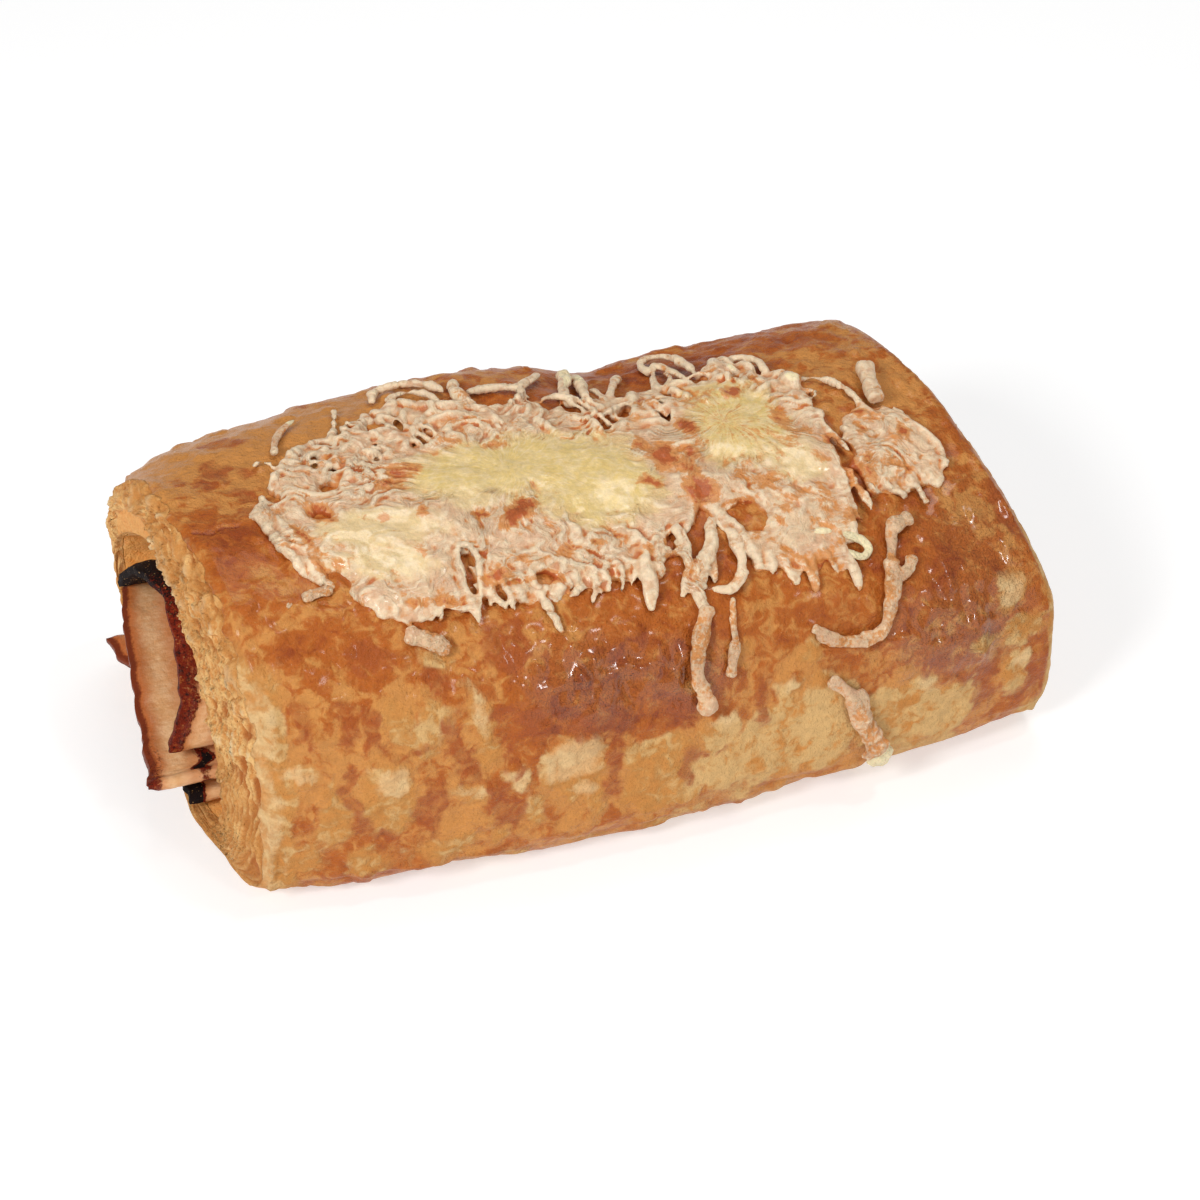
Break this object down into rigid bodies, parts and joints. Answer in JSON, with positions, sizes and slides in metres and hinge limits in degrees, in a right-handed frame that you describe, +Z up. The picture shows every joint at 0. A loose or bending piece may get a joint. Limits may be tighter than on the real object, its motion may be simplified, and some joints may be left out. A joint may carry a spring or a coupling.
{
  "type": "ham and cheese pastry",
  "caption": "Rectangular roll of glazed puff pastry, open at its ends, with folded ham slices inside and melted grated cheese on top.",
  "frame": {"origin": "centre of the underside of the box round the whole pastry, on the surface it rests on", "axes": "+X along the roll, away from the open end that shows the ham; -Y the front, where the crust slopes down; +Z up"},
  "size_m": [0.144, 0.0808, 0.0532],
  "materials": {
    "crust": "baked golden brown, egg-washed to a soft gloss on top, paler and dry where flaky",
    "ham": "moist cooked ham, rims browned and charred",
    "cheese": "melted and set, pale yellow and smooth in the middle, pinkish cream shreds at the rim"
  },
  "bodies": {
    "root": {"pastry": "crust", "ham_upper": "ham", "ham_lower": "ham", "ham_under": "ham", "cheese_melt": "cheese", "cheese_patch_right": "cheese", "cheese_strand_bent": "cheese", "cheese_strand_pointed": "cheese", "cheese_drip_long": "cheese", "cheese_drip_thin": "cheese", "cheese_strand_upper_left": "cheese", "cheese_crumb_oval": "cheese"}
  },
  "joints": []
}
